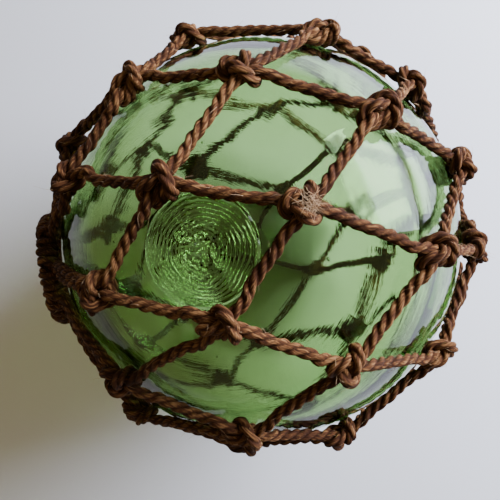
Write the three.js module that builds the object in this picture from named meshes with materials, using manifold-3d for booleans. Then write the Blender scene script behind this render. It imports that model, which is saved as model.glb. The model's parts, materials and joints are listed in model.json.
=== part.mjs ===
// A blown-glass fishing float in a knotted rope net, lying loose on three of its knots.
// Millimetres and degrees, +Z up. The ball's closing seal looks up, and the net's axis lies almost
// level along +X. The net is described on a globe of its own: latitude runs from the pole where the
// net was begun to the pole where it is drawn in, and longitude 0 is the meridian that lies on top.

import * as THREE from "three";
import { mergeVertices } from "three/addons/utils/BufferGeometryUtils.js";
import Module from "manifold-3d";

const wasm = await Module();
wasm.setup();

// Glass ball and the button of glass that seals its blow hole
const glassRadius = 62.5;
const glassFacetsAround = 28;
const glassFacetsDown = 14;
const sealRadius = 13.5;
const sealHeight = 0.8;
const sealRidgeHeight = 0.55;
const sealRidges = 3;
const sealDimpleDepth = 0.9;
const sealRimInset = 0.35;
const sealLatitude = -22.4;
const sealLongitude = 0.5;

// Rope
const ropeDiameter = 3.1;
const ropeSides = 5;
const netClearance = 0.3;

// Net courses, from the side where it was begun: each is a ring of knots. tiltTop and tiltSide lean the
// ring out of its latitude at longitudes 0 and 90, twist turns it, and crowd draws knots together. A
// slip is a knot's number, and the millimetres that it has slid along and up the globe.
const meshesAround = 10;
const courses = [
  { latitude: -49, tiltTop: -0.5, tiltSide: -4, twist: -1, crowd: 4, halfStep: 0.5, slips: [[1, 2.1, 1.9]] },
  { latitude: -24, tiltTop: 0.5, tiltSide: -0.5, twist: 0.5, crowd: -3, halfStep: 0,
    slips: [[1, 1.1, -1.6], [2, -0.9, 1.6]] },
  { latitude: -2.5, tiltTop: 2.5, tiltSide: 1.5, twist: -0.5, crowd: -3, halfStep: 0.5, slips: [[0, 2.2, 0.9]] },
  { latitude: 26, tiltTop: 0, tiltSide: 1, twist: 0.5, crowd: -2.5, halfStep: 0,
    slips: [[1, 0.5, -2.7], [2, 0.8, -0.5]] },
  { latitude: 50.5, tiltTop: 0, tiltSide: 4, twist: 0.5, crowd: 0.5, halfStep: 0.5, slips: [] },
];
const topStep = 1.5;

// Sheet-bend knots: a six-sided drum of turns under one bight that lies slantwise across the top
const knotWidth = 8.8;
const knotLength = 8.2;
const knotHeight = 6.4;
const turnsHeight = 4.2;
const bightLength = 7;
const bightWidth = 3.2;
const bightAngle = 25;
const knotSides = 6;

// Gathers: at each pole the loops are hitched in a thick knobbly ring, one hitch to a mesh
const gathers = [
  { radius: 14, latitude: -80, longitude: -78 },
  { radius: 13.5, latitude: 88, longitude: 150 },
];
const gatherHeight = 7.2;
const gatherPinch = 0.76;
const gatherSides = 6;
const loopSpread = 0.22;

// Rest on the ground: how far the drawn-in pole dips, and how deep the lowest knots are worn flat
const netDip = 15.4;
const flatDepth = 0.5;

// Corners nearer than this are one corner
const mergeDistance = 1e-4;

const ropeRadius = ropeDiameter / 2;
const seatRadius = glassRadius + netClearance + ropeRadius;
const knotSeat = glassRadius + netClearance + knotHeight / 2;
const gatherSeat = glassRadius + netClearance + gatherHeight / 2;

const glassMaterial = new THREE.MeshStandardMaterial({
  color: 0x8fb07a,
  roughness: 0.05,
  metalness: 0,
  transparent: true,
  opacity: 0.45,
});
const netMaterial = new THREE.MeshStandardMaterial({ color: 0x6b3d22, roughness: 0.85, metalness: 0 });

const radians = THREE.MathUtils.degToRad;

/** Unit vector at a latitude and longitude of the net's globe, in degrees. */
function onGlobe(latitude, longitude) {
  const lat = radians(latitude);
  const lon = radians(longitude);
  return new THREE.Vector3(Math.cos(lat) * Math.cos(lon), Math.cos(lat) * Math.sin(lon), Math.sin(lat));
}

/** How far one knot has slid out of its place: degrees of longitude and latitude. */
function slipOf(course, index) {
  const wrapped = (index + meshesAround) % meshesAround;
  const [, along, up] = course.slips.find(([knot]) => knot === wrapped) ?? [wrapped, 0, 0];
  const levelRadius = glassRadius * Math.cos(radians(course.latitude));
  return [THREE.MathUtils.radToDeg(along / levelRadius), THREE.MathUtils.radToDeg(up / glassRadius)];
}

/** Direction of one knot of a course. */
function knotDirection(course, index) {
  const step = index + course.halfStep;
  const even = ((step - topStep) * 360) / meshesAround;
  const along = Math.cos(radians(even));
  const across = Math.sin(radians(even));
  const latitude = course.latitude + course.tiltTop * along + course.tiltSide * across;
  const [slipLongitude, slipLatitude] = slipOf(course, index);
  return onGlobe(latitude + slipLatitude, even + course.twist + course.crowd * across + slipLongitude);
}

/** Axes of a gather: towards longitude 0, the way round its plane, and out of the ball. */
function gatherAxes(gather) {
  const out = onGlobe(gather.latitude, gather.longitude);
  const top = onGlobe(0, 0);
  const along = top.addScaledVector(out, -top.dot(out)).normalize();
  return { along, across: new THREE.Vector3().crossVectors(out, along), out };
}

/** Direction of a place on a gather, counted in meshes round the net as the knots are. */
function gatherDirection(gather, step) {
  const { along, across, out } = gatherAxes(gather);
  const turn = radians(((step - topStep) * 360) / meshesAround) * Math.sign(gather.latitude);
  const spread = Math.asin(gather.radius / gatherSeat);
  return out
    .clone()
    .multiplyScalar(Math.cos(spread))
    .addScaledVector(along, Math.sin(spread) * Math.cos(turn))
    .addScaledVector(across, Math.sin(spread) * Math.sin(turn));
}

/** A taut leg of rope: straight from knot to knot unless the ball's curve pushes its middle out. */
class TautLeg extends THREE.Curve {
  constructor(start, end) {
    super();
    const middle = start.clone().add(end).normalize();
    const bend = Math.max(seatRadius, knotSeat * Math.cos(start.angleTo(end) / 2));
    this.start = start.clone().multiplyScalar(knotSeat);
    this.middle = middle.multiplyScalar(bend);
    this.end = end.clone().multiplyScalar(knotSeat);
  }

  getPoint(t, target = new THREE.Vector3()) {
    if (t < 0.5) return target.lerpVectors(this.start, this.middle, 2 * t);
    return target.lerpVectors(this.middle, this.end, 2 * t - 1);
  }
}

/** The rope's section. */
function ropeSection() {
  const section = new THREE.Shape();
  for (let side = 0; side < ropeSides; side += 1) {
    const turn = (side / ropeSides) * 2 * Math.PI;
    const corner = [ropeRadius * Math.cos(turn), ropeRadius * Math.sin(turn)];
    if (side === 0) section.moveTo(...corner);
    else section.lineTo(...corner);
  }
  section.closePath();
  return section;
}

/** Rope swept along a leg. */
function ropeAlong(leg) {
  return new THREE.ExtrudeGeometry(ropeSection(), { extrudePath: leg, steps: 2, bevelEnabled: false });
}

/** A closed solid from a geometry. */
function toSolid(geometry) {
  const bare = geometry.clone();
  bare.deleteAttribute("normal");
  bare.deleteAttribute("uv");
  const merged = mergeVertices(bare, mergeDistance);
  const vertProperties = new Float32Array(merged.attributes.position.array);
  const triVerts = new Uint32Array(merged.index.array);
  return new wasm.Manifold(new wasm.Mesh({ numProp: 3, vertProperties, triVerts }));
}

/** A geometry from a closed solid. */
function toGeometry(solid) {
  const { vertProperties, triVerts } = solid.getMesh();
  const geometry = new THREE.BufferGeometry();
  geometry.setAttribute("position", new THREE.BufferAttribute(new Float32Array(vertProperties), 3));
  geometry.setIndex(new THREE.BufferAttribute(new Uint32Array(triVerts), 1));
  geometry.computeVertexNormals();
  return geometry;
}

/** A six-sided drum: upright sides, a shallow cone below and a smaller crown above. */
function drum() {
  const rim = 0.5 / Math.cos(Math.PI / knotSides);
  const profile = [
    new THREE.Vector2(0, -knotHeight / 2),
    new THREE.Vector2(rim, -turnsHeight / 2),
    new THREE.Vector2(rim, turnsHeight / 2),
    new THREE.Vector2(rim / 2, knotHeight / 2),
    new THREE.Vector2(0, knotHeight / 2),
  ];
  const turned = new THREE.LatheGeometry(profile, knotSides);
  turned.rotateX(Math.PI / 2);
  turned.rotateZ(Math.PI / knotSides);
  return turned.scale(knotWidth, knotLength, 1);
}

/** Draws a drum's crown out into a bight that lies slantwise across the knot. */
function slantCrown(geometry) {
  const slant = radians(bightAngle);
  const [cos, sin] = [Math.cos(slant), Math.sin(slant)];
  const places = geometry.attributes.position;
  for (let corner = 0; corner < places.count; corner += 1) {
    const x = places.getX(corner);
    const y = places.getY(corner);
    if (places.getZ(corner) < (knotHeight + turnsHeight) / 4 || Math.hypot(x, y) < ropeRadius / 2) continue;
    const turn = Math.atan2(y, x) - slant;
    const u = (Math.cos(turn) * bightLength) / 2;
    const v = (Math.sin(turn) * bightWidth) / 2;
    places.setXY(corner, u * cos - v * sin, u * sin + v * cos);
  }
  return geometry;
}

/** One knot, at a direction, squared to the net's courses. */
function knotSolid(direction) {
  const east = new THREE.Vector3(0, 0, 1).cross(direction).normalize();
  const north = new THREE.Vector3().crossVectors(direction, east);
  const place = new THREE.Matrix4().makeBasis(east, north, direction);
  place.setPosition(direction.clone().multiplyScalar(knotSeat));
  return toSolid(slantCrown(drum()).applyMatrix4(place));
}

/** A gather: a ring that swells at each hitch and narrows between. */
function gatherSolid(gather) {
  const steps = 2 * meshesAround;
  const ring = new THREE.TorusGeometry(gather.radius, gatherHeight / 2, gatherSides, steps);
  const places = ring.attributes.position;
  for (let corner = 0; corner < places.count; corner += 1) {
    const turn = Math.atan2(places.getY(corner), places.getX(corner));
    const swell = Math.round((turn / Math.PI) * meshesAround) % 2 === 0 ? 1 : gatherPinch;
    const centre = [gather.radius * Math.cos(turn), gather.radius * Math.sin(turn)];
    const x = centre[0] + (places.getX(corner) - centre[0]) * swell;
    const y = centre[1] + (places.getY(corner) - centre[1]) * swell;
    places.setXYZ(corner, x, y, places.getZ(corner) * swell);
  }
  const { along, across, out } = gatherAxes(gather);
  const place = new THREE.Matrix4().makeBasis(along, across, out);
  place.setPosition(out.clone().multiplyScalar(Math.sqrt(gatherSeat ** 2 - gather.radius ** 2)));
  return toSolid(ring.applyMatrix4(place));
}

/** Profile of the sealing button from its rim to the axis, standing off by a margin. */
function sealProfile(margin) {
  const points = [];
  const rings = 2 * sealRidges;
  for (let ring = 0; ring < rings; ring += 1) {
    const radius = (sealRadius + margin) * (1 - (ring + sealRimInset) / (rings + sealRimInset));
    const height = sealHeight + (ring % 2 === 1 ? sealRidgeHeight : 0) + margin;
    points.push(new THREE.Vector2(radius, Math.sqrt((glassRadius + height) ** 2 - radius ** 2)));
  }
  points.push(new THREE.Vector2(0, glassRadius + sealHeight - sealDimpleDepth + margin));
  return points;
}

/** The ball and its sealing button, turned as one from pole to pole. */
function glassGeometry() {
  const points = [];
  const rimAngle = Math.asin(sealRadius / glassRadius);
  for (let step = 0; step <= glassFacetsDown; step += 1) {
    const angle = Math.PI - (step / glassFacetsDown) * (Math.PI - rimAngle);
    const radius = step === 0 ? 0 : glassRadius * Math.sin(angle);
    points.push(new THREE.Vector2(radius, glassRadius * Math.cos(angle)));
  }
  points.push(...sealProfile(0));
  return new THREE.LatheGeometry(points, glassFacetsAround);
}

/** Room round the sealing button, cut from the ropes that cross its rim. */
function sealRoom() {
  const foot = glassRadius - ropeDiameter;
  const points = [new THREE.Vector2(0, foot), new THREE.Vector2(sealRadius + netClearance, foot)];
  const rim = Math.sqrt((glassRadius + netClearance) ** 2 - (sealRadius + netClearance) ** 2);
  points.push(new THREE.Vector2(sealRadius + netClearance, rim), ...sealProfile(netClearance));
  return new THREE.LatheGeometry(points, glassFacetsAround);
}

/** Turns a geometry's +Y to the seal's place on the net's globe. */
function towardsSeal(geometry) {
  const turn = new THREE.Quaternion().setFromUnitVectors(
    new THREE.Vector3(0, 1, 0),
    onGlobe(sealLatitude, sealLongitude),
  );
  return geometry.applyQuaternion(turn);
}

/** The two legs that run on from each knot of a course to the next course. */
function legsBetween(course, next) {
  const ahead = course.halfStep > next.halfStep ? 1 : -1;
  const paths = [];
  for (let index = 0; index < meshesAround; index += 1) {
    for (const target of [index, index + ahead]) {
      paths.push(new TautLeg(knotDirection(course, index), knotDirection(next, target)));
    }
  }
  return paths;
}

/** The two legs that run from each knot of an outer course into its gather. */
function legsToGather(course, gather) {
  const paths = [];
  for (let index = 0; index < meshesAround; index += 1) {
    for (const side of [-1, 1]) {
      const step = index + course.halfStep + side * (0.5 - loopSpread);
      paths.push(new TautLeg(knotDirection(course, index), gatherDirection(gather, step)));
    }
  }
  return paths;
}

/** The whole knotted net on its globe, with room for the sealing button. */
function netSolid() {
  const legs = [
    ...legsToGather(courses[0], gathers[0]),
    ...courses.slice(1).flatMap((course, below) => legsBetween(courses[below], course)),
    ...legsToGather(courses[courses.length - 1], gathers[1]),
  ];
  const solids = legs.map((leg) => toSolid(ropeAlong(leg)));
  for (const course of courses) {
    for (let index = 0; index < meshesAround; index += 1) {
      solids.push(knotSolid(knotDirection(course, index)));
    }
  }
  solids.push(...gathers.map(gatherSolid));
  return wasm.Manifold.union(solids).subtract(toSolid(towardsSeal(sealRoom())));
}

/** Turns from the net's globe to the part's axes. */
function layDown() {
  const dip = radians(netDip);
  return new THREE.Matrix4().makeBasis(
    new THREE.Vector3(Math.sin(dip), 0, Math.cos(dip)),
    new THREE.Vector3(0, -1, 0),
    new THREE.Vector3(Math.cos(dip), 0, -Math.sin(dip)),
  );
}

/** The net laid down, with the knots that it rests on worn flat. */
function layNet() {
  const laid = toGeometry(netSolid()).applyMatrix4(layDown());
  laid.computeBoundingBox();
  const ground = laid.boundingBox.min.z + flatDepth;
  const below = new THREE.BoxGeometry(4 * glassRadius, 4 * glassRadius, glassRadius);
  below.translate(0, 0, ground - glassRadius / 2);
  return { geometry: toGeometry(toSolid(laid).subtract(toSolid(below))), ground };
}

/** A named mesh. */
function named(name, geometry, material) {
  const mesh = new THREE.Mesh(geometry, material);
  mesh.name = name;
  return mesh;
}

const float = new THREE.Group();
const net = layNet();
float.add(named("glass_float", towardsSeal(glassGeometry()).applyMatrix4(layDown()), glassMaterial));
float.add(named("rope_net", net.geometry, netMaterial));

// The origin is on the ground, below the middle of the whole part
const box = new THREE.Box3().setFromObject(float);
float.position.set(-(box.min.x + box.max.x) / 2, -(box.min.y + box.max.y) / 2, -net.ground);

export default float;
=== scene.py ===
"""A green blown-glass net float in a knotted rope net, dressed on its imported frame.

Lengths are millimetres in the classes and metres in the meshes. The net is described on a globe of
its own: latitude runs from the pole where the net was begun to the pole where it is drawn in, and
longitude 0 is the meridian that lies on top.
"""

from __future__ import annotations

import json
import logging
import math
from dataclasses import dataclass, field
from enum import Enum

import bpy
import numpy as np
from mathutils import Matrix

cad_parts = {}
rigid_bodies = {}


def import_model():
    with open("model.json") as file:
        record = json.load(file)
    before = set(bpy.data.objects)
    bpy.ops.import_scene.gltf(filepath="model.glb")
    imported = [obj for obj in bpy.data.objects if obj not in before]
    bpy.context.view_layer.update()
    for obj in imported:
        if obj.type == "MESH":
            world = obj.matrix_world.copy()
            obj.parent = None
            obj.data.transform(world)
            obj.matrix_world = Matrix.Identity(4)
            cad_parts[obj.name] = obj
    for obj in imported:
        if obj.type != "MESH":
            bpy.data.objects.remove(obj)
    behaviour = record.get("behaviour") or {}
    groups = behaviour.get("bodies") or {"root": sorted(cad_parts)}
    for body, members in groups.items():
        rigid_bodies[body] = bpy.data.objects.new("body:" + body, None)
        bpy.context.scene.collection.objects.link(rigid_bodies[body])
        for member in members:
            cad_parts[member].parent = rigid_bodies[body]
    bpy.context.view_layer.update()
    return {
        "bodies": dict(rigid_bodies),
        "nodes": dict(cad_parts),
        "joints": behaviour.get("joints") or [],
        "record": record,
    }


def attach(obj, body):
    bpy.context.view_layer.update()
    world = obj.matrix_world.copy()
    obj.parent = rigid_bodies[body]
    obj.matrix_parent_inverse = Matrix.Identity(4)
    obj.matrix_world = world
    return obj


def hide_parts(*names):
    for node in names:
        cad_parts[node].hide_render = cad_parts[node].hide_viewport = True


MM = 0.001
THIRD = 2 * math.pi / 3
LOG = logging.getLogger("net_float")

# Large numbers that scatter the values at the corners of the noise lattice
HASH_AXES = np.array([374761393, 668265263, 2147483647])
HASH_SEED = 144269
HASH_TURN = 1274126177


class Face(Enum):
    """Which face of a sheet bend looks outward: its bight, or the turn round its neck."""

    BIGHT = 1.0
    NECK = -1.0


class Strand(Enum):
    """Which of a sheet bend's two ropes: the bight, or the turn that goes round it."""

    BIGHT = 0
    TURN = 1


# Shader helpers


def linear(hex_colour: str, alpha: float = 1.0) -> tuple[float, float, float, float]:
    """Turn an sRGB hex colour to the linear values that a shader socket takes.

    Args:
        hex_colour: Six hex digits, with or without a leading hash.
        alpha: Fourth value of the result.

    Returns:
        Linear red, green, blue and alpha.
    """
    digits = hex_colour.lstrip("#")
    srgb = [int(digits[i : i + 2], 16) / 255 for i in (0, 2, 4)]
    red, green, blue = [c / 12.92 if c <= 0.04045 else ((c + 0.055) / 1.055) ** 2.4 for c in srgb]
    return red, green, blue, alpha


def node(
    tree: bpy.types.NodeTree, kind: str, settings: dict | None = None, links: dict | None = None
) -> bpy.types.Node:
    """Add a node, set its properties and sockets, and link its inputs.

    Args:
        tree: Node tree that takes the node.
        kind: Blender's name for the node type, without the words in front that all of them share.
        settings: Property names, or input names or numbers, with their values.
        links: Input names or numbers, with the output socket that feeds each.

    Returns:
        The new node.
    """
    made = tree.nodes.new("ShaderNode" + kind)
    for key, value in (settings or {}).items():
        if isinstance(key, str) and hasattr(made, key):
            setattr(made, key, value)
        else:
            made.inputs[key].default_value = value
    for key, source in (links or {}).items():
        tree.links.new(source, made.inputs[key])
    return made


# Shape helpers


def unit(vectors: np.ndarray) -> np.ndarray:
    """Scale vectors to length 1."""
    return vectors / np.linalg.norm(vectors, axis=-1, keepdims=True)


def dot(first: np.ndarray, second: np.ndarray) -> np.ndarray:
    """Dot products over the last axis, which is kept."""
    return (first * second).sum(axis=-1, keepdims=True)


def joined(*parts: np.ndarray | float) -> np.ndarray:
    """Spread coordinates over one another and put them in one last axis."""
    return np.stack(np.broadcast_arrays(*parts), axis=-1)


def smooth_step(value: np.ndarray) -> np.ndarray:
    """Ease a value from 0 to 1 by 3t^2 - 2t^3, held flat outside."""
    part = np.clip(value, 0, 1)
    return part * part * (3 - 2 * part)


def lattice_noise(points: np.ndarray, seed: int) -> np.ndarray:
    """Smooth value noise from -1 to 1.

    Each lattice corner has a hashed value, and a point takes the eight round it, weighted by the
    smooth step 3t^2 - 2t^3 of its place in the cell.

    Args:
        points: Places, in lattice units, with the axes last.
        seed: Changes the whole pattern.

    Returns:
        One value for each point.
    """
    cell = np.floor(points).astype(np.int64)
    ease = smooth_step(points - cell)
    total = np.zeros(points.shape[:-1])
    for corner in np.ndindex(2, 2, 2):
        mixed = ((cell + np.array(corner)) * HASH_AXES).sum(axis=-1) + seed * HASH_SEED
        mixed = (mixed ^ (mixed >> 13)) * HASH_TURN
        value = ((mixed ^ (mixed >> 16)) & 0xFFFF) / 32767.5 - 1
        total += value * np.prod(np.where(np.array(corner) == 1, ease, 1 - ease), axis=-1)
    return total


def spaced(points: np.ndarray, step: float, closed: bool) -> np.ndarray:
    """Even out the points of a path.

    Args:
        points: The path.
        step: Distance between the new points, before it is rounded to fit the length.
        closed: True where the last point leads back to the first.

    Returns:
        The new points.
    """
    path = np.vstack([points, points[:1]]) if closed else points
    length = np.concatenate([[0], np.cumsum(np.linalg.norm(np.diff(path, axis=0), axis=1))])
    count = int(round(length[-1] / step))
    want = np.linspace(0, length[-1], count + 1)[: count if closed else None]
    return np.stack([np.interp(want, length, path[:, axis]) for axis in range(3)], axis=1)


def grid_faces(rows: int, columns: int, close_rows: bool) -> np.ndarray:
    """Quads of a grid whose columns close on themselves.

    Args:
        rows: Rows of vertices.
        columns: Vertices in each row.
        close_rows: True where the last row joins the first.

    Returns:
        Four vertex numbers for each quad.
    """
    last = rows if close_rows else rows - 1
    row, column = np.meshgrid(np.arange(last), np.arange(columns), indexing="ij")
    here, below = row * columns, (row + 1) % rows * columns
    beside = (column + 1) % columns
    return joined(here + column, here + beside, below + beside, below + column).reshape(-1, 4)


def capped_faces(rows: int, columns: int, inward: bool) -> tuple[np.ndarray, np.ndarray]:
    """Faces of a closed skin: a grid, and its two poles as the two vertices that follow it.

    Args:
        rows: Rows of vertices, counted from the first pole.
        columns: Vertices in each row.
        inward: True where the faces look into the skin.

    Returns:
        Quads and triangles.
    """
    lane = np.arange(columns)
    beside = (lane + 1) % columns
    last = rows * columns
    quads = grid_faces(rows, columns, False)[:, ::-1]
    low = last - columns
    triangles = np.vstack([joined(last, lane, beside), joined(last + 1, low + beside, low + lane)])
    return (quads[:, ::-1], triangles[:, ::-1]) if inward else (quads, triangles)


def mesh_piece(name: str, places: np.ndarray, faces: list, material: bpy.types.Material) -> bpy.types.Object:
    """Make a smooth-shaded object at the origin.

    Args:
        name: Name of the piece.
        places: Vertex places in metres.
        faces: Vertex numbers of each face.
        material: The piece's finish.

    Returns:
        The new object.
    """
    mesh = bpy.data.meshes.new(name)
    mesh.from_pydata(places.reshape(-1, 3).tolist(), [], faces)
    mesh.polygons.foreach_set("use_smooth", np.ones(len(mesh.polygons), dtype=bool))
    mesh.materials.append(material)
    mesh.update()
    piece = bpy.data.objects.new(name, mesh)
    bpy.context.scene.collection.objects.link(piece)
    return piece


def add_attribute(piece: bpy.types.Object, name: str, values: np.ndarray) -> None:
    """Store one value or vector for each vertex.

    Args:
        piece: Mesh object.
        name: Attribute name that its material reads.
        values: Vectors, with their axes last, where there are three times as many as vertices.
    """
    vectors = values.size == 3 * len(piece.data.vertices)
    layer = piece.data.attributes.new(name, "FLOAT_VECTOR" if vectors else "FLOAT", "POINT")
    layer.data.foreach_set("vector" if vectors else "value", values.ravel().astype(np.float32))


def stand(piece: bpy.types.Object, axes: np.ndarray, place: np.ndarray) -> None:
    """Turn, place and link a light or the camera.

    Args:
        piece: The light or the camera.
        axes: Rows that its own axes point along.
        place: Where it stands, in millimetres.
    """
    matrix = np.eye(4)
    matrix[:3, :3] = axes.T
    matrix[:3, 3] = place * MM
    piece.matrix_world = Matrix(matrix.tolist())
    bpy.context.scene.collection.objects.link(piece)


# Finishes


@dataclass(frozen=True)
class BottleGlass:
    """Soda-lime bottle glass, blown and reheated: clear pale sage green, with tooling streaks.

    The gather was turned on the pipe, so its streaks run round the seal. They bend what lies behind
    into short teeth, and leave the gloss almost unbroken.
    """

    skin_colour: str = "#e4f2d7"
    bulk_colour: tuple = (0.32, 0.61, 0.04, 1.0)
    bulk_density: float = 205.0
    ior: float = 1.5
    roughness: float = 0.0
    streak_width_mm: float = 1.1
    streak_length: float = 9.0
    streak_height_mm: float = 0.02
    wave_width_mm: float = 6.0
    wave_height_mm: float = 0.05

    def material(self) -> bpy.types.Material:
        """Build the glass, tinted through its bulk, with its streaks and waves as two bumps.

        Returns:
            The material.
        """
        made = bpy.data.materials.new("blown_bottle_glass")
        made.use_nodes = True
        tree = made.node_tree
        shader = tree.nodes["Principled BSDF"]
        shader.inputs["Base Color"].default_value = linear(self.skin_colour)
        shader.inputs["Roughness"].default_value = self.roughness
        shader.inputs["IOR"].default_value = self.ior
        shader.inputs["Transmission Weight"].default_value = 1.0
        bulk = node(tree, "VolumeAbsorption", {"Color": self.bulk_colour, "Density": self.bulk_density})
        tree.links.new(bulk.outputs["Volume"], tree.nodes["Material Output"].inputs["Volume"])
        turned = node(tree, "Attribute", {"attribute_name": "turned"}).outputs["Vector"]
        stretch = (1 / self.streak_length, 1 / self.streak_length, 1)
        drawn_out = node(tree, "VectorMath", {"operation": "MULTIPLY", 1: stretch}, {0: turned})
        streaks = {"Detail": 3.0, "Roughness": 0.6, "Distortion": 0.3}
        waves = {"Detail": 1.0, "Roughness": 0.5}
        relief = (
            (self.streak_width_mm, self.streak_height_mm, streaks),
            (self.wave_width_mm, self.wave_height_mm, waves),
        )
        feeds = {}
        for width, height, grain in relief:
            settings = {"Scale": 1 / (width * MM), **grain}
            noise = node(tree, "TexNoise", settings, {"Vector": drawn_out.outputs["Vector"]})
            feeds["Height"] = noise.outputs["Fac"]
            bump = node(tree, "Bump", {"Strength": 1.0, "Distance": height * MM}, feeds)
            feeds["Normal"] = bump.outputs["Normal"]
        tree.links.new(feeds["Normal"], shader.inputs["Normal"])
        return made


@dataclass(frozen=True)
class LaidFibre:
    """Coarse brown plant fibre, combed, spun and laid: dull, streaked along each strand.

    The crests are painted lighter and the grooves between the strands darker, as painted shade. The tone
    is a sum of four shares, of fibres, yarns, faded patches and crests, and a ramp turns it to colour.
    """

    dark: str = "#25130b"
    brown: str = "#372015"
    warm: str = "#4e301c"
    worn: str = "#7f5a39"
    stops: tuple = (0.0, 0.36, 0.66, 1.0)
    shares: tuple = (2.8, 1.5, 1.3, 0.6)
    balance: float = -2.75
    tones: tuple = (-0.35, 1.1)
    roughness: float = 0.85
    gloss: float = 0.2
    fibre_mm: float = 0.4
    yarn_mm: float = 0.95
    patch_mm: float = 40 / 3
    fibre_run: float = 9.0
    wander_mm: float = 2.5
    sway_mm: float = 0.9
    fibre_height_mm: float = 0.26
    fibre_relief: float = 0.9

    def material(self, name: str, lift: float = 0.0) -> bpy.types.Material:
        """Build the rope's fibre.

        Args:
            name: Material name.
            lift: How far every place moves towards the worn colour, from 0 to 1.

        Returns:
            The material.
        """
        made = bpy.data.materials.new(name)
        made.use_nodes = True
        tree = made.node_tree
        shader = tree.nodes["Principled BSDF"]
        shader.inputs["Roughness"].default_value = self.roughness
        shader.inputs["Specular IOR Level"].default_value = self.gloss
        lay = node(tree, "Attribute", {"attribute_name": "lay"}).outputs["Vector"]
        # The fibres wander: a slow noise pushes the lay about before it is combed out along the rope
        wander = {"Scale": 1 / (self.wander_mm * MM), "Detail": 1.0}
        slow = node(tree, "TexNoise", wander, {"Vector": lay}).outputs["Color"]
        sway = {"operation": "MULTIPLY_ADD", 1: (self.sway_mm * MM,) * 3}
        led = node(tree, "VectorMath", sway, {0: slow, 2: lay}).outputs["Vector"]
        comb = {"operation": "MULTIPLY", 1: (1.0, 1.0, 1 / self.fibre_run)}
        combed = node(tree, "VectorMath", comb, {0: led}).outputs["Vector"]
        place = node(tree, "TexCoord").outputs["Object"]
        grains = ((self.fibre_mm, 0.6, combed), (self.yarn_mm, 0.6, combed), (self.patch_mm, 0.5, place))
        sources = []
        for width, roughness, vector in grains:
            settings = {"Scale": 1 / (width * MM), "Detail": 2.0, "Roughness": roughness}
            sources.append(node(tree, "TexNoise", settings, {"Vector": vector}).outputs["Fac"])
        fibres = sources[0]
        # The crest share paints the strands' crests lighter and the grooves between them darker, as painted
        # shade
        sources.append(node(tree, "Attribute", {"attribute_name": "crest"}).outputs["Fac"])
        tone = node(tree, "Value").outputs[0]
        tone.default_value = lift + self.balance
        for source, share in zip(sources, self.shares):
            settings = {"operation": "MULTIPLY_ADD", 1: share}
            tone = node(tree, "Math", settings, {0: source, 2: tone}).outputs[0]
        low, high = self.tones
        spread = node(tree, "MapRange", {"From Min": low, "From Max": high}, {0: tone})
        colour = node(tree, "ValToRGB", links={"Fac": spread.outputs["Result"]})
        elements = colour.color_ramp.elements
        while len(elements) < len(self.stops):
            elements.new(0.5)
        for element, place, shade in zip(elements, self.stops, (self.dark, self.brown, self.warm, self.worn)):
            element.position = place
            element.color = linear(shade)
        tree.links.new(colour.outputs["Color"], shader.inputs["Base Color"])
        settings = {"Strength": self.fibre_relief, "Distance": self.fibre_height_mm * MM}
        bump = node(tree, "Bump", settings, {"Height": fibres})
        tree.links.new(bump.outputs["Normal"], shader.inputs["Normal"])
        return made


@dataclass(frozen=True)
class PaleTable:
    """Painted board: matt, almost white, with a faint cool cast."""

    colour: str = "#e4e3e6"
    roughness: float = 0.9

    def material(self) -> bpy.types.Material:
        """Build the table's plain paint.

        Returns:
            The material.
        """
        made = bpy.data.materials.new("matt_painted_board")
        made.use_nodes = True
        shader = made.node_tree.nodes["Principled BSDF"]
        shader.inputs["Base Color"].default_value = linear(self.colour)
        shader.inputs["Roughness"].default_value = self.roughness
        return made


# The net's globe


@dataclass(frozen=True)
class Course:
    """One ring of knots: its latitude, how it leans out of it, how it is turned and crowded.

    A slip moves one knot out of the even net: its number, then millimetres along and up the globe.
    """

    latitude: float
    tilt_top: float
    tilt_side: float
    twist: float
    crowd: float
    half_step: float
    face: Face
    slips: tuple = ()


@dataclass(frozen=True)
class Gather:
    """One knobbly ring at a pole: its radius and the latitude and longitude of its middle."""

    radius: float
    latitude: float
    longitude: float


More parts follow.
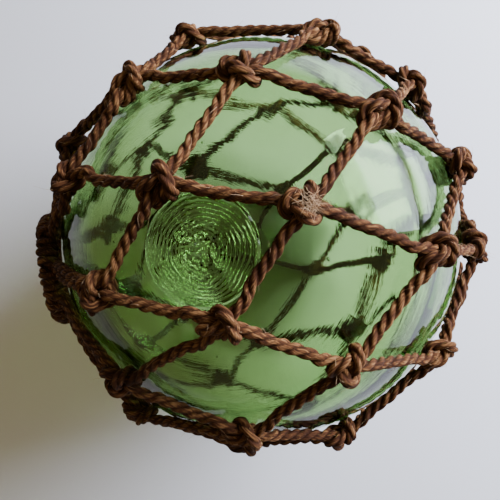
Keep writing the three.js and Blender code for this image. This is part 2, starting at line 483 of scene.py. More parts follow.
@dataclass
class Globe:
    """Places on the float: the glass ball as packed, and the net's own latitudes and longitudes."""

    dip: float = 15.4
    meshes: int = 10
    top_step: float = 1.5
    centre: np.ndarray = field(default_factory=lambda: np.zeros(3))
    radius: float = 62.5

    @classmethod
    def from_frame(cls, frame: dict) -> Globe:
        """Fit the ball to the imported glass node.

        The lower half of the node is a plain ball, so its vertices satisfy
        x^2 + y^2 + z^2 = 2 a x + 2 b y + 2 c z + d, which is linear in the centre (a, b, c) and d.


        Returns:
            The globe, in millimetres.
        """
        mesh = frame["nodes"]["glass_float"].data
        places = np.zeros(len(mesh.vertices) * 3)
        mesh.vertices.foreach_get("co", places)
        places = places.reshape(-1, 3) / MM
        low = places[places[:, 2] < places[:, 2].mean()]
        matrix = np.column_stack([2 * low, np.ones(len(low))])
        answer = np.linalg.lstsq(matrix, (low**2).sum(axis=1), rcond=None)[0]
        centre = answer[:3]
        return cls(centre=centre, radius=float(np.sqrt(answer[3] + centre @ centre)))

    def axes(self) -> np.ndarray:
        """Rows that turn a globe vector to the part's axes: the top, the side, then the pole."""
        dip = math.radians(self.dip)
        return np.array([[math.sin(dip), 0, math.cos(dip)], [0, -1, 0], [math.cos(dip), 0, -math.sin(dip)]])

    def direction(self, latitude: np.ndarray | float, longitude: np.ndarray | float) -> np.ndarray:
        """Unit vectors in the part's axes at latitudes and longitudes in degrees."""
        lat, lon = np.radians(latitude), np.radians(longitude)
        return joined(np.cos(lat) * np.cos(lon), np.cos(lat) * np.sin(lon), np.sin(lat)) @ self.axes()

    def knots(self, course: Course, steps: np.ndarray) -> np.ndarray:
        """Directions of a course's knots.

        Args:
            course: The ring of knots.
            steps: Knot numbers, counted from zero.

        Returns:
            Unit vectors.
        """
        even = (steps + course.half_step - self.top_step) * 360 / self.meshes
        along, across = np.cos(np.radians(even)), np.sin(np.radians(even))
        latitude = course.latitude + course.tilt_top * along + course.tilt_side * across
        longitude = even + course.twist + course.crowd * across
        level = self.radius * math.cos(math.radians(course.latitude))
        for number, east, north in course.slips:
            latitude = latitude + (steps == number) * math.degrees(north / self.radius)
            longitude = longitude + (steps == number) * math.degrees(east / level)
        return self.direction(latitude, longitude)

    def gather_axes(self, gather: Gather) -> np.ndarray:
        """Axes of a gather.

        Args:
            gather: The ring.

        Returns:
            Rows towards longitude 0, the way that the courses run, and out.
        """
        out = self.direction(gather.latitude, gather.longitude)
        top = self.direction(0.0, 0.0)
        along = unit(top - (top @ out) * out)
        return np.array([along, np.cross(out, along) * np.sign(gather.latitude), out])

    def frames(self, directions: np.ndarray) -> np.ndarray:
        """Rows east, north and out at each unit vector."""
        east = unit(np.cross(self.direction(90.0, 0.0), directions))
        return np.stack([east, np.cross(directions, east), directions], axis=-2)


# Rope


@dataclass
class LaidRope:
    """Three-strand rope with a left-hand lay.

    A strand's radius and its offset from the rope's middle are shares that set the section's form;
    the diameter sets its size.
    """

    diameter: float = 3.1
    pitch: float = 10.7
    strand_radius: float = 0.86
    strand_offset: float = 0.7
    sides: int = 24
    station: float = 0.62
    curve_steps: int = 24
    unevenness: float = 0.09
    uneven_run: float = 9.0
    uneven_strand: float = 7.3
    back_twist: float = -1.8
    lay_gap: tuple = (5.0 * THIRD, 10.0)
    table_gap: float = 0.02

    def scale(self) -> float:
        """Millimetres to one share of the section."""
        return self.diameter / 2 / (self.strand_offset + self.strand_radius)

    def section(self) -> tuple[np.ndarray, np.ndarray]:
        """Outline of three pressed strands.

        At an angle d from the nearest strand's middle, the radius is
        a cos d + sqrt(s^2 - a^2 sin^2 d), with a the strand's offset and s its radius.

        Returns:
            The angle of each side, and its radius.
        """
        angle = np.arange(self.sides) / self.sides * 2 * np.pi
        away = (angle + THIRD / 2) % THIRD - THIRD / 2
        reach = self.strand_offset * np.cos(away)
        radius = reach + np.sqrt(self.strand_radius**2 - (self.strand_offset * np.sin(away)) ** 2)
        return angle, radius * self.scale()

    def smooth(self, control: np.ndarray) -> np.ndarray:
        """Closed uniform cubic B-spline through the pull of the control points, evenly spaced.

        Args:
            control: Control points in order round the loop.

        Returns:
            Stations along the rope, a station length apart.
        """
        part = (np.arange(self.curve_steps) / self.curve_steps)[:, None]
        weights = [
            (1 - part) ** 3 / 6,
            (3 * part**3 - 6 * part**2 + 4) / 6,
            (-3 * part**3 + 3 * part**2 + 3 * part + 1) / 6,
            part**3 / 6,
        ]
        pulls = (np.roll(control, shift, axis=0)[:, None, :] for shift in (1, 0, -1, -2))
        dense = sum(pull * weight for pull, weight in zip(pulls, weights))
        return spaced(dense.reshape(-1, 3), self.station, True)

    def turns(self, ahead: np.ndarray, normal: np.ndarray, side: np.ndarray) -> np.ndarray:
        """Angle by which the section is turned at each station of a closed path.

        It is turned back by the angle that the outward frame gains over a frame that never twists,
        and then on by the lay. That angle is the running sum of the angle between each frame and the
        one before it, carried over the bend. The sum is mended evenly so that the strands meet.

        Args:
            ahead: Way along the path.
            normal: Outward direction, squared to the path.
            side: The direction across both.

        Returns:
            One angle in radians for each station.
        """
        next_ahead, next_normal, next_side = (np.roll(v, -1, axis=0) for v in (ahead, normal, side))
        both = ahead + next_ahead
        lean = dot(both, normal) / (1 + dot(ahead, next_ahead))
        carried = normal - lean * both + 2 * dot(ahead, normal) * next_ahead
        gain = np.arctan2(dot(next_normal, carried), dot(next_side, carried))[:, 0] - np.pi / 2
        gain = (gain + np.pi) % (2 * np.pi) - np.pi
        count = len(ahead)
        share = np.arange(count + 1) / count
        laid = share * (2 * np.pi * self.station * count / self.pitch)
        turn = -np.concatenate([[0], np.cumsum(gain)]) - laid
        mend = np.round(turn[-1] / THIRD) * THIRD - turn[-1]
        return (turn + share * mend)[:-1]

    def sweep(self, path: np.ndarray, out: np.ndarray, seed: int) -> RopeRun:
        """Carry the section along a closed path, turned by the lay.

        Args:
            path: Stations along the closed path.
            out: Outward direction at each station.
            seed: Changes the unevenness.

        Returns:
            The rope's vertices with their lay.
        """
        ahead = unit(np.roll(path, -1, axis=0) - np.roll(path, 1, axis=0))
        normal = unit(out - dot(out, ahead) * ahead)
        side = np.cross(ahead, normal)
        turn = self.turns(ahead, normal, side)[:, None]
        angle, radius = self.section()
        strand = np.round(angle / THIRD)
        along = np.arange(len(path))[:, None] * self.station
        length = self.station * len(path)
        loop, run = along / length * 2 * np.pi, length / self.uneven_run
        uneven_place = joined(np.cos(loop) * run, np.sin(loop) * run, strand * self.uneven_strand)
        grown = radius * (1 + self.unevenness * lattice_noise(uneven_place, seed))
        around = (turn + angle)[..., None]
        outward = np.cos(around) * normal[:, None, :] + np.sin(around) * side[:, None, :]
        places = path[:, None, :] + grown[..., None] * outward
        # What would sink into the table is pressed flat on it
        places[..., 2] = np.maximum(places[..., 2], self.table_gap)
        # Within a strand the yarns are twisted back, so the fibres run almost along the rope
        middle = self.strand_offset * self.scale() * np.exp(1j * strand * THIRD)
        back = (radius * np.exp(1j * angle) - middle) * np.exp(-1j * self.back_twist * (turn - turn[0]))
        lay = joined(back.real + self.lay_gap[0] * strand, back.imag + self.lay_gap[1] * seed, along)
        # Height of each side over the grooves, which the fibre turns into lighter crests and painted shade in
        # the grooves
        crest = (radius - radius.min()) / np.ptp(radius)
        return RopeRun(places, outward, ahead, lay, np.broadcast_to(crest, places.shape[:2]))


@dataclass
class RopeRun:
    """A swept rope: vertices, outward directions, the way along it, its lay and its crests."""

    places: np.ndarray
    outward: np.ndarray
    ahead: np.ndarray
    lay: np.ndarray
    crest: np.ndarray

    def piece(self, name: str, material: bpy.types.Material) -> bpy.types.Object:
        """Make the rope a mesh with its lay and crests as attributes.

        Args:
            name: Name of the piece.
            material: The rope's finish.

        Returns:
            The piece.
        """
        faces = grid_faces(*self.crest.shape, True).tolist()
        made = mesh_piece(name, self.places * MM, faces, material)
        add_attribute(made, "lay", self.lay * MM)
        add_attribute(made, "crest", self.crest)
        return made


@dataclass
class SheetBend:
    """The netting knot: one rope's bight, and the other rope up through it and round its neck.

    Points are in rope diameters, seen from the bight's side: x along the course, y towards the
    drawn-in pole, z out. They only say which rope passes over which; tighten() draws the knot up.
    """

    bight: tuple = (
        (-1.40, 2.30, -0.30),
        (-0.72, 1.00, -0.30),
        (-0.72, 0.20, -0.10),
        (-0.50, -0.70, 0.15),
        (0.00, -1.05, 0.30),
        (0.50, -0.70, 0.15),
        (0.72, 0.20, -0.10),
        (0.72, 1.00, -0.30),
        (1.40, 2.30, -0.30),
    )
    turn: tuple = (
        (-1.40, -2.30, -0.30),
        (-0.60, -1.30, -0.60),
        (-0.25, -0.70, -0.50),
        (-0.15, -0.35, 0.30),
        (0.10, -0.05, 1.00),
        (0.80, 0.15, 1.00),
        (1.45, 0.15, 0.20),
        (1.10, 0.20, -0.90),
        (0.00, 0.45, -1.15),
        (-1.10, 0.70, -0.90),
        (-1.50, 0.65, 0.00),
        (-0.90, 0.45, 0.65),
        (-0.10, 0.10, 0.20),
        (0.60, -0.30, 0.55),
        (1.00, -0.95, 0.40),
        (1.40, -2.30, -0.30),
    )
    spacing: float = 0.2
    squash: float = 0.76
    height: float = 0.80
    pull: float = 0.42
    push: float = 0.9
    stiff_length: float = 1.5
    rounds: int = 600
    rounds_between_spacing: int = 25
    end_height: float = 0.5

    def tighten(self, face: Face) -> tuple[np.ndarray, np.ndarray]:
        """Pull both ropes taut until they bear on each other.

        Each round moves every point towards the middle of its two neighbours, which is what tension
        does, and then pushes apart all points of the ropes that are nearer than a squashed rope's
        width. Their heights stay within the knot's, so it lies flat on the ball.

        Args:
            face: Which face looks outward; the ropes leave towards the ball.

        Returns:
            The bight and the turn, in the course's direction.
        """
        strands = [np.array(self.bight), np.array(self.turn)]
        for strand in strands:
            strand[[0, -1], 2] = -self.end_height * face.value
        for count in range(self.rounds):
            if count == 0 or (count + 1) % self.rounds_between_spacing == 0:
                strands = [spaced(strand, self.spacing, False) for strand in strands]
            for strand in strands:
                strand[1:-1] += self.pull * ((strand[:-2] + strand[2:]) / 2 - strand[1:-1])
            points = np.vstack(strands)
            owner = np.repeat([0, 1], [len(strand) for strand in strands])
            order = np.concatenate([np.arange(len(strand)) for strand in strands])
            apart = np.abs(order[:, None] - order) * self.spacing > self.stiff_length
            gap = points[:, None, :] - points
            reach = np.linalg.norm(gap, axis=-1) + 1e-9
            press = np.where((owner[:, None] != owner) | apart, np.clip(self.squash - reach, 0, None), 0)
            away = (gap / reach[..., None] * press[..., None]).sum(axis=1)
            touching = np.maximum((press > 0).sum(axis=1), 1)
            points = points + self.push * away / np.sqrt(touching)[:, None]
            points[:, 2] = np.clip(points[:, 2], -self.height, self.height)
            first = len(strands[0])
            for strand, moved in zip(strands, (points[:first], points[first:])):
                strand[1:-1] = moved[1:-1]
        bight, turn = strands
        if face is Face.NECK:
            # The whole knot is turned over about the line to the pole
            over = np.array([-1, 1, -1])
            return bight[::-1] * over, turn[::-1] * over
        return bight, turn


def set_down(points: np.ndarray, at: np.ndarray, frames: np.ndarray) -> np.ndarray:
    """Repeat a path at several places, each with the rows of its own axes."""
    return at[:, None, :] + np.einsum("kp,npq->nkq", points, frames)


@dataclass
class RopeNet:
    """The knotted net: zigzag runs of rope between the courses, and a knobbly ring at each pole."""

    globe: Globe
    rope: LaidRope = field(default_factory=LaidRope)
    bend: SheetBend = field(default_factory=SheetBend)
    clearance: float = 0.15
    knot_rise: float = 3.5
    leg_shares: tuple = (0.3, 0.5, 0.7)
    gather_height: float = 7.2
    gather_points: int = 36
    hitch_turns: float = 3.0
    hitch_width: float = 8.6
    hitch_points: int = 22
    loop_spread: float = 0.22
    frayed_knot: tuple = (2, 1)
    courses: tuple = (
        Course(-49, -0.5, -4, -1, 4, 0.5, Face.BIGHT, ((1, 2.1, 1.9),)),
        Course(-24, 0.5, -0.5, 0.5, -3, 0, Face.NECK, ((1, 1.1, -1.6), (2, -0.9, 1.6))),
        Course(-2.5, 2.5, 1.5, -0.5, -3, 0.5, Face.BIGHT, ((0, 2.2, 0.9),)),
        Course(26, 0, 1, 0.5, -2.5, 0, Face.NECK, ((1, 0.5, -2.7), (2, 0.8, -0.5))),
        Course(50.5, 0, 4, 0.5, 0.5, 0.5, Face.BIGHT),
    )
    begun: Gather = Gather(14, -80, -78)
    drawn: Gather = Gather(13.5, 88, 150)

    def leg_radius(self) -> float:
        """Distance from the ball's middle to a leg that lies on the glass."""
        return self.globe.radius + self.clearance + self.rope.diameter / 2

    def knot_radius(self) -> float:
        """Distance from the ball's middle to a knot's."""
        return self.globe.radius + self.knot_rise

    def gather_radius(self) -> float:
        """Distance from the ball's middle to the line of a pole ring."""
        return self.globe.radius + self.clearance + self.gather_height / 2

    def leg(self, start: np.ndarray, end: np.ndarray) -> np.ndarray:
        """Control points of taut legs between knots: nearly straight, resting on the ball.

        Args:
            start: Directions of the knots that they leave.
            end: Directions of the knots that they reach.

        Returns:
            Three points for each leg.
        """
        shares = np.array(self.leg_shares)
        half = np.arccos(np.clip(dot(start, end), -1, 1)) / 2
        mixed = start[:, None, :] * (1 - shares)[:, None] + end[:, None, :] * shares[:, None]
        chord = self.knot_radius() * np.cos(half) / np.cos(half * 2 * np.abs(shares - 0.5))
        radius = np.maximum(chord, self.leg_radius())
        return self.globe.centre + unit(mixed) * radius[..., None]

    def ring_points(self, gather: Gather, steps: np.ndarray) -> np.ndarray:
        """Directions of places on a pole ring.

        Args:
            gather: The ring.
            steps: Places, counted in meshes round the net.

        Returns:
            Unit vectors.
        """
        along, across, out = self.globe.gather_axes(gather)
        turn = np.radians((steps - self.globe.top_step) * 360 / self.globe.meshes)[:, None]
        spread = math.asin(gather.radius / self.gather_radius())
        flat = np.cos(turn) * along + np.sin(turn) * across
        return math.cos(spread) * out + math.sin(spread) * flat

    def hitches(self, gather: Gather, steps: np.ndarray) -> np.ndarray:
        """Control points of the turns that each loop takes round its pole ring.

        A turn is a helix round the ring's line: it starts below the ring on the outer side, and moves
        along the ring by the hitch's width.

        Args:
            gather: The ring.
            steps: Place of each hitch, in meshes round the net.

        Returns:
            Points for each hitch.
        """
        out = self.ring_points(gather, steps)
        pole = self.globe.direction(gather.latitude, gather.longitude)
        outer = unit((out @ pole)[:, None] * out - pole)
        frames = np.stack([out, outer, np.cross(outer, out)], axis=1)
        # The hitch advances the way that the courses run, whichever pole it is on
        way = -np.sign(gather.latitude)
        share = np.linspace(0, 1, self.hitch_points)
        angle = 2 * np.pi * self.hitch_turns * share
        reach = (self.gather_height - self.rope.diameter) / 2
        helix = joined(-np.cos(angle) * reach, -np.sin(angle) * reach, (share - 0.5) * self.hitch_width * way)
        return set_down(helix, self.globe.centre + out * self.gather_radius(), frames)

    def knots(self, course: Course, strand: Strand, drawn: dict) -> tuple[np.ndarray, np.ndarray]:
        """One rope of every knot of a course.

        Args:
            course: The ring of knots.
            strand: Which of the knot's two ropes.
            drawn: The tightened knot for each face.

        Returns:
            Directions of the knots, and the rope's control points in each.
        """
        out = self.globe.knots(course, np.arange(self.globe.meshes))
        points = drawn[course.face][strand.value] * self.rope.diameter
        return out, set_down(points, self.globe.centre + out * self.knot_radius(), self.globe.frames(out))

    def end_run(self, gather: Gather, course: Course, strand: Strand, drawn: dict) -> list:
        """Stretches of the run between a course and its pole ring.

        Args:
            gather: The ring.
            course: The course next to it.
            strand: Which of the knots' two ropes comes from the ring.
            drawn: The tightened knot for each face.

        Returns:
            Control points of the knots, the legs there, the hitches and the legs back.
        """
        at = np.arange(self.globe.meshes) + course.half_step + 0.5
        reach, leave = (self.ring_points(gather, at + way * self.loop_spread) for way in (-1, 1))
        out, points = self.knots(course, strand, drawn)
        back = self.leg(leave, np.roll(out, -1, axis=0))
        return [points, self.leg(out, reach), self.hitches(gather, at), back]

    def middle_run(self, south: Course, north: Course, drawn: dict) -> list:
        """Stretches of the run between two courses.

        Knot k of the south course runs up to knot k of the north one, or to the one after it where
        the south course stands half a mesh ahead, and that one runs on down to the next south knot.

        Args:
            south: The course nearer the begun ring.
            north: The course nearer the drawn ring.
            drawn: The tightened knot for each face.

        Returns:
            Control points of the south knots, the legs up, the north knots and the legs down.
        """
        low, low_points = self.knots(south, Strand.BIGHT, drawn)
        high, high_points = self.knots(north, Strand.TURN, drawn)
        shift = int(south.half_step > north.half_step)
        high, high_points = (np.roll(v, -shift, axis=0) for v in (high, high_points))
        return [low_points, self.leg(low, high), high_points, self.leg(high, np.roll(low, -1, axis=0))]

    def frayed(self) -> tuple[np.ndarray, np.ndarray]:
        """Place of the knot where a rope was joined: its end stands out of the top, frayed.

        Returns:
            The middle of the end, and rows east, north and out.
        """
        course, step = self.frayed_knot
        direction = self.globe.knots(self.courses[course], np.array([step]))
        height = self.knot_radius() + self.rope.diameter
        return self.globe.centre + direction[0] * height, self.globe.frames(direction)[0]

    def controls(self) -> dict:
        """Lay out every closed run.

        Returns:
            Control points, by the name of the piece.
        """
        drawn = {face: self.bend.tighten(face) for face in Face}
        runs = [self.end_run(self.begun, self.courses[0], Strand.TURN, drawn)]
        runs += [self.middle_run(*pair, drawn) for pair in zip(self.courses, self.courses[1:])]
        runs.append(self.end_run(self.drawn, self.courses[-1], Strand.BIGHT, drawn))
        found = {
            f"rope_course_{number + 1}": np.concatenate(run, axis=1).reshape(-1, 3)
            for number, run in enumerate(runs)
        }
        steps = np.arange(self.gather_points) / self.gather_points * self.globe.meshes
        for name, gather in (("rope_ring_begun", self.begun), ("rope_ring_drawn", self.drawn)):
            found[name] = self.globe.centre + self.ring_points(gather, steps) * self.gather_radius()
        return found

    def build(self, material: bpy.types.Material) -> tuple[list, list]:
        """Sweep every run.

        Args:
            material: The rope's finish.

        Returns:
            The pieces, and the runs that loose fibres grow from.
        """
        pieces, runs = [], []
        for number, (name, control) in enumerate(self.controls().items()):
            path = self.rope.smooth(control)
            runs.append(self.rope.sweep(path, unit(path - self.globe.centre), number + 1))
            pieces.append(runs[-1].piece(name, material))
        return pieces, runs


@dataclass
class LooseFibres:
    """Stray ends of fibre that stand off the rope, and the frayed end of one knot."""

    count: int = 5200
    length: tuple = (0.6, 3.6)
    thickness: float = 0.05
    taper: float = 0.75
    stations: int = 5
    sides: int = 3
    rise: tuple = (0.06, 0.55)
    swing: float = 0.2
    curl: float = 0.24
    bend: float = 0.54
    table_gap: float = 0.1
    lay_length: float = 3.0
    seed: int = 11
    tuft_count: int = 120
    tuft_spread: float = 0.85
    tuft_depth: float = 0.5
    tuft_length: float = 2.2

    def on_rope(self, draw: np.random.Generator, runs: list) -> list:
        """Scatter fibres over the ropes.

        Args:
            draw: Random numbers.
            runs: Swept ropes.

        Returns:
            Roots, outward directions and ways along of the fibres on each run.
        """
        total = sum(run.places.shape[0] for run in runs)
        found = []
        for run in runs:
            share = int(self.count * run.places.shape[0] / total)
            row = draw.integers(0, run.places.shape[0], share)
            column = draw.integers(0, run.places.shape[1], share)
            ahead = run.ahead[row] * draw.choice([-1.0, 1.0], share)[:, None]
            found.append((run.places[row, column], run.outward[row, column], ahead))
        return found

    def tuft(self, draw: np.random.Generator, at: np.ndarray, frame: np.ndarray) -> tuple:
        """Roots, outward directions and ways along of the frayed end's fibres.

        Args:
            draw: Random numbers.
            at: Middle of the frayed knot.
            frame: Rows east, north and out of the knot.

        Returns:
            Three arrays of vectors.
        """
        east, north, out = frame
        place = draw.normal(0, self.tuft_spread, (self.tuft_count, 2))
        depth = draw.normal(0, self.tuft_depth, (self.tuft_count, 1))
        root = at + place[:, :1] * east + place[:, 1:] * north + depth * out
        turn = draw.random((self.tuft_count, 1)) * 2 * np.pi
        return root, np.broadcast_to(out, root.shape), np.cos(turn) * east + np.sin(turn) * north

    def build(
        self, runs: list, frayed: tuple[np.ndarray, np.ndarray], material: bpy.types.Material
    ) -> bpy.types.Object:
        """Grow the fibres as thin three-sided tubes that taper to their tips.

        A fibre leaves the rope slantwise and bends by a share that grows with the square of its length.

        Args:
            runs: Swept ropes.
            frayed: Middle and frame of the frayed knot.
            material: Their finish.

        Returns:
            The piece.
        """
        draw = np.random.default_rng(self.seed)
        groups = [*self.on_rope(draw, runs), self.tuft(draw, *frayed)]
        root, out, ahead = (np.concatenate(part)[:, None, :] for part in zip(*groups))
        number = len(root)
        side = np.cross(out, ahead)
        shortest, longest = self.length
        length = shortest + (longest - shortest) * draw.random(number) ** 3
        length[-self.tuft_count :] = self.tuft_length * (0.5 + draw.random(self.tuft_count))
        least, more = self.rise
        rise = (least + more * draw.random(number) ** 3)[:, None, None]
        swing, curl, bend = (draw.normal(0, v, (number, 1, 1)) for v in (self.swing, self.curl, self.bend))
        share = np.linspace(0, 1, self.stations)[None, :, None]
        span = length[:, None, None] * share
        path = root + span * (ahead + rise * out + swing * side) + span * share * (bend * side + curl * out)
        path[..., 2] = np.maximum(path[..., 2], self.table_gap)
        along = unit(np.gradient(path, axis=1))
        first = unit(np.cross(along, out))[:, :, None, :]
        second = np.cross(along[:, :, None, :], first)
        turn = (np.arange(self.sides) * 2 * np.pi / self.sides)[:, None]
        radius = self.thickness * (1 - self.taper * share)[..., None]
        places = path[:, :, None, :] + radius * (first * np.cos(turn) + second * np.sin(turn))
        ring = np.arange(self.sides)
        caps = np.array([ring[::-1], ring + (self.stations - 1) * self.sides])
        base = (np.arange(number) * self.stations * self.sides)[:, None, None]
        faces = []
        for part in (grid_faces(self.stations, self.sides, False), caps):
            faces += (part + base).reshape(-1, part.shape[1]).tolist()
        made = mesh_piece("rope_fibres", places * MM, faces, material)
        lay = root[:, :, None, :] + share[..., None] * np.array([0, 0, self.lay_length])
        add_attribute(made, "lay", np.broadcast_to(lay, places.shape) * MM)
        # Loose fibres take the crests' lighter colour, with none of the grooves' painted shade
        add_attribute(made, "crest", np.ones(places.shape[:3]))
        return made


# Glass


@dataclass
class Skin:
    """One closed skin of the glass: places, coordinates for its streaks, and faces."""

    places: np.ndarray
    turned: np.ndarray
    quads: np.ndarray
    triangles: np.ndarray


@dataclass
class GlassFloat:
    """The blown ball with its fused sealing button."""

    globe: Globe
    wall: float = 2.5
    wall_lean: float = 0.4
    lean_way: tuple = (-0.33, -0.945, 0.0)
    behind_seal: float = 1.5
    drawn_bands: float = 0.3
    seal_latitude: float = -22.4
    seal_longitude: float = 0.5
    seal_radius: float = 13.5
    seal_height: float = 0.9
    rim_width: float = 1.1
    tool_middle: tuple = (0.6, -0.4)
    tool_pitch: float = 0.92
    tool_depth: float = 0.075
    crumple_radius: float = 7.6
    crumple_depth: float = 0.5
    frost_radius: float = 2.6
    frost_depth: float = 0.35
    dimple_depth: float = 0.5
    columns: int = 336
    seal_rows: int = 96
    ball_rows: int = 118
    inner_columns: int = 160
    inner_rows: int = 84
    seeds: int = 26
    seed_size: tuple = (0.07, 0.12)
    seed_skin: float = 0.4
    seed_rows: int = 5
    seed_columns: int = 8
    seed_stretch: tuple = (1.0, 1.5, 1.0)

    def axes(self) -> np.ndarray:
        """Axes of the glass.

        Returns:
            Two rows across, then the way to the seal.
        """
        out = self.globe.direction(self.seal_latitude, self.seal_longitude)
        across = unit(np.cross(np.array([0.0, 1.0, 0.0]), out))
        return np.array([across, np.cross(out, across), out])

    def seal_relief(self, reach: np.ndarray, turn: np.ndarray) -> np.ndarray:
        """Height of the sealing button over the ball.

        A low disc with a soft rim carries broken rings left by the tool. Its middle is crumpled into
        sharp creases, and torn where the pipe came away. Each noise takes places over its grain in mm.

        Args:
            reach: Distance from the seal's middle along the glass, in millimetres.
            turn: Angle round the seal in radians.

        Returns:
            Heights in millimetres.
        """
        x, y = reach * np.cos(turn), reach * np.sin(turn)
        place = joined(x, y, 0.0)
        disc = self.seal_height * smooth_step((self.seal_radius - reach) / self.rim_width)
        drift = 0.7 * lattice_noise(place / 7.0, 3) + 0.12 * lattice_noise(place / 2.5, 4)
        off_centre = np.hypot(x - self.tool_middle[0], y - self.tool_middle[1])
        rings = np.sin(2 * np.pi * (off_centre + drift) / self.tool_pitch)
        strength = 0.75 + 0.45 * lattice_noise(place / 3.4, 5)
        on_rings = smooth_step(self.seal_radius - 0.3 - reach) * smooth_step((reach - 2.5) / 3.0)
        creases = np.abs(lattice_noise(place / 2.3, 7)) + 0.5 * np.abs(lattice_noise(place / 1.1, 9))
        lumps = 0.45 * lattice_noise(place / 3.4, 6) + 0.5 * creases - 0.2
        in_crumple = smooth_step((self.crumple_radius - reach) / 2.2)
        torn = lattice_noise(place / 0.55, 8) * smooth_step((self.frost_radius - reach) / 1.2)
        tooled = self.tool_depth * rings * strength * on_rings
        return disc + tooled + self.crumple_depth * lumps * in_crumple + self.frost_depth * torn

    def surface(self, polar: np.ndarray, turn: np.ndarray, radius: np.ndarray | float) -> np.ndarray:
        """Places on or in the ball.

        Args:
            polar: Angle from the seal.
            turn: Angle round the seal.
            radius: Distance from the ball's middle.

        Returns:
            Points in the part's axes.
        """
        across = radius * np.sin(polar)
        local = joined(across * np.cos(turn), across * np.sin(turn), radius * np.cos(polar))
        return self.globe.centre + local @ self.axes()

    def local_wall(self, places: np.ndarray) -> np.ndarray:
        """Thickness of the wall at places on the ball: the glass sagged to one side as it cooled."""
        lean = (places - self.globe.centre) @ unit(np.array(self.lean_way)) / self.globe.radius
        return self.wall + self.wall_lean * lean

    def hollow_radius(self, skin: np.ndarray, reach: np.ndarray, turn: np.ndarray) -> np.ndarray:
        """Distance from the ball's middle to the hollow's skin.

        The wall sags in slow lumps and in bands that were drawn out round the pipe. It is thicker
        behind the seal, where the hollow is dimpled.

        Args:
            skin: Places on the outer ball.
            reach: Distance from the seal's middle along the glass.
            turn: Angle round the seal in radians.

        Returns:
            Distances in millimetres.
        """
        sag = 0.3 * lattice_noise(skin / 16.0, 21) + 0.12 * lattice_noise(skin / 7.0, 22)
        bands = lattice_noise(joined(np.cos(turn) * 1.6, np.sin(turn) * 1.6, reach / 4.2), 25)
        sag = sag + self.drawn_bands * np.sin(reach / self.globe.radius) ** 2 * bands
        backed = self.behind_seal * smooth_step((self.seal_radius - reach) / 6.0)
        in_dimple = smooth_step((self.crumple_radius - reach) / 3.0)
        dimple = self.dimple_depth * lattice_noise(skin / 3.0, 23) * in_dimple
        return self.globe.radius - (self.local_wall(skin) + sag + backed) + dimple

    def shell(self, polar: np.ndarray, columns: int, inner: bool) -> Skin:
        """One closed skin of the glass.

        Args:
            polar: Polar angle of each row between the two poles.
            columns: Vertices round the seal.
            inner: True for the hollow's skin, whose faces look into the hollow.

        Returns:
            The skin.
        """
        turn, down = np.meshgrid(np.arange(columns) / columns * 2 * np.pi, polar)
        ball = self.globe.radius
        reach = down * ball
        skin = self.surface(down, turn, ball)
        if inner:
            radius = self.hollow_radius(skin, reach, turn)
        else:
            radius = ball + self.seal_relief(reach, turn) + 0.03 * lattice_noise(skin / 9.0, 24)
        poles = self.surface(np.array([0.0, np.pi]), np.zeros(2), radius[[0, -1]].mean(axis=1))
        places = np.vstack([self.surface(down, turn, radius).reshape(-1, 3), poles])
        across = ball * np.sin(down)
        turned = joined(across * np.cos(turn), across * np.sin(turn), reach).reshape(-1, 3)
        ends = np.array([[0, 0, 0], [0, 0, np.pi * ball]])
        return Skin(places, np.vstack([turned, ends]), *capped_faces(len(polar), columns, inner))

    def bubbles(self) -> Skin:
        """Small long seeds of air half way down in the wall, with faces that look into the air.

        Returns:
            One skin for all of them.
        """
        draw = np.random.default_rng(5)
        polar = np.arccos(1 - draw.random(self.seeds) * 1.6)
        turn = draw.random(self.seeds) * 2 * np.pi
        wall = self.local_wall(self.surface(polar, turn, self.globe.radius)) - self.seed_skin
        least, more = self.seed_size
        size = wall * (least + more * draw.random(self.seeds) ** 3)
        middle = self.surface(polar, turn, self.globe.radius - wall / 2)
        rows, columns = self.seed_rows, self.seed_columns
        down = (np.arange(1, rows + 1) / (rows + 1) * np.pi)[:, None]
        around = np.arange(columns) / columns * 2 * np.pi
        ball = joined(np.sin(down) * np.cos(around), np.sin(down) * np.sin(around), np.cos(down))
        ball = np.vstack([ball.reshape(-1, 3), [[0, 0, 1], [0, 0, -1]]])
        places = middle[:, None, :] + ball * size[:, None, None] * np.array(self.seed_stretch)
        places = places.reshape(-1, 3)
        shift = (np.arange(self.seeds) * len(ball))[:, None, None]
        quads, triangles = (part + shift for part in capped_faces(rows, columns, True))
        return Skin(places, places - self.globe.centre, quads.reshape(-1, 4), triangles.reshape(-1, 3))

    def build(self, material: bpy.types.Material) -> bpy.types.Object:
        """Make the hollow ball: outer skin, inner skin and seeds in one mesh.

        Args:
            material: The glass.

        Returns:
            The piece.
        """
        rim = (self.seal_radius + 0.6) / self.globe.radius
        seal = np.linspace(0, rim, self.seal_rows + 1)[1:]
        rest = np.linspace(rim, np.pi, self.ball_rows + 2)[1:-1]
        inside = np.linspace(0, np.pi, self.inner_rows + 2)[1:-1]
        outer = self.shell(np.concatenate([seal, rest]), self.columns, False)
        skins = [outer, self.shell(inside, self.inner_columns, True), self.bubbles()]
        faces, start = [], 0
        for skin in skins:
            faces += (skin.quads + start).tolist() + (skin.triangles + start).tolist()
            start += len(skin.places)
        places, turned = (np.vstack(part) * MM for part in zip(*((s.places, s.turned) for s in skins)))
        made = mesh_piece("glass_ball", places, faces, material)
        add_attribute(made, "turned", turned)
        return made


# Studio


@dataclass(frozen=True)
class Panel:
    """A soft rectangular light that faces the float.

    Its bearing is in degrees from the camera's right towards its up, its height in degrees over the
    table, and its power in watts. A panel that isn't mirrored leaves no patch on the glass.
    """

    name: str
    bearing: float
    height: float
    reach: float
    size: tuple
    power: float
    tint: str = "#e3ecff"
    mirrored: bool = True


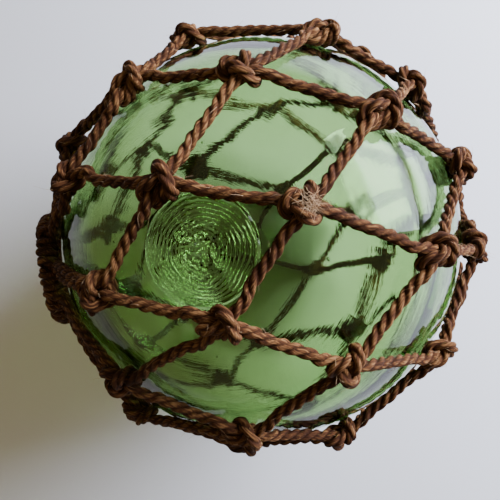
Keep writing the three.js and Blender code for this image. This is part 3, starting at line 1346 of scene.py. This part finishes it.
@dataclass
class Studio:
    """Pale table, dim warm surroundings, a window with the sky over it, and the viewpoint."""

    globe: Globe
    azimuth: float = 78.66
    elevation: float = 83.26
    roll: float = -97.78
    distance: float = 175.0
    aside: float = 3.28
    above: float = 3.95
    lens: float = 37.73
    table_size: float = 2400.0
    room_colour: str = "#e8d2a8"
    room_strength: float = 0.34
    panels: tuple = (
        Panel("window", 22.0, 12.0, 520, (370, 250), 2.5),
        Panel("sky_over_window", 30.0, 20.0, 540, (400, 260), 15.6, mirrored=False),
    )

    def view_axes(self) -> np.ndarray:
        """Rows right, up and back of the camera in the part's axes.

        Azimuth 0 looks along +Y and 90 along -X, and roll turns the camera about its own view.

        Returns:
            A matrix.
        """
        azimuth, elevation, roll = (math.radians(v) for v in (self.azimuth, self.elevation, self.roll))
        flat, high = math.cos(elevation), math.sin(elevation)
        back = np.array([flat * math.sin(azimuth), -flat * math.cos(azimuth), high])
        level = np.array([math.cos(azimuth), math.sin(azimuth), 0.0])
        right = math.cos(roll) * level + math.sin(roll) * np.cross(back, level)
        return np.array([right, np.cross(back, right), back])

    def camera(self) -> None:
        """Make the camera where the photograph was taken from."""
        right, up, back = self.view_axes()
        data = bpy.data.cameras.new("photo_camera")
        data.lens = self.lens
        data.sensor_width = 36.0
        data.clip_start = 0.01
        made = bpy.data.objects.new("photo_camera", data)
        place = self.globe.centre - self.aside * right - self.above * up + self.distance * back
        stand(made, self.view_axes(), place)
        bpy.context.scene.camera = made

    def hang(self, panel: Panel) -> None:
        """Hang one light panel.

        Args:
            panel: Where it hangs and how it shines.
        """
        level = np.array([1, 1, 0])
        upright = np.array([0, 0, 1.0])
        right, up, _ = self.view_axes()
        turn, lift = math.radians(panel.bearing), math.radians(panel.height)
        flat = math.cos(turn) * unit(right * level) + math.sin(turn) * unit(up * level)
        out = math.cos(lift) * flat + math.sin(lift) * upright
        side = unit(np.cross(upright, out))
        data = bpy.data.lights.new(panel.name, "AREA")
        data.shape = "RECTANGLE"
        data.size, data.size_y = panel.size[0] * MM, panel.size[1] * MM
        data.energy = panel.power
        data.color = linear(panel.tint)[:3]
        made = bpy.data.objects.new(panel.name, data)
        made.visible_glossy = panel.mirrored
        stand(made, np.array([side, np.cross(out, side), out]), self.globe.centre + panel.reach * out)

    def build(self) -> None:
        """Lay the table, light it and set the camera."""
        corners = np.array([[-1, -1, 0], [1, -1, 0], [1, 1, 0], [-1, 1, 0]]) * self.table_size / 2 * MM
        table = mesh_piece("table", corners, [[0, 1, 2, 3]], PaleTable().material())
        world = bpy.data.worlds.new("dim_room")
        world.use_nodes = True
        room = world.node_tree.nodes["Background"]
        room.inputs["Color"].default_value = linear(self.room_colour)
        room.inputs["Strength"].default_value = self.room_strength
        bpy.context.scene.world = world
        for panel in self.panels:
            self.hang(panel)
        self.camera()


def main() -> None:
    """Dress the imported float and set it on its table."""
    logging.basicConfig(level=logging.INFO, format="%(message)s")
    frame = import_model()
    globe = Globe.from_frame(frame)
    LOG.info("ball of radius %.2f mm at %s", globe.radius, np.round(globe.centre, 2))

    glass = GlassFloat(globe).build(BottleGlass().material())
    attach(glass, "root")
    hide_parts("glass_float")
    LOG.info("glass ball, %d faces", len(glass.data.polygons))

    net = RopeNet(globe)
    pieces, runs = net.build(LaidFibre().material("laid_plant_fibre"))
    bleached = LaidFibre(warm="#7d5c42", worn="#bb9c7a").material("loose_plant_fibre", lift=0.4)
    pieces.append(LooseFibres().build(runs, net.frayed(), bleached))
    for piece in pieces:
        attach(piece, "root")
        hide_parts("rope_net")
        LOG.info("%s, %d faces", piece.name, len(piece.data.polygons))

    Studio(globe).build()


if __name__ == "__main__":
    main()
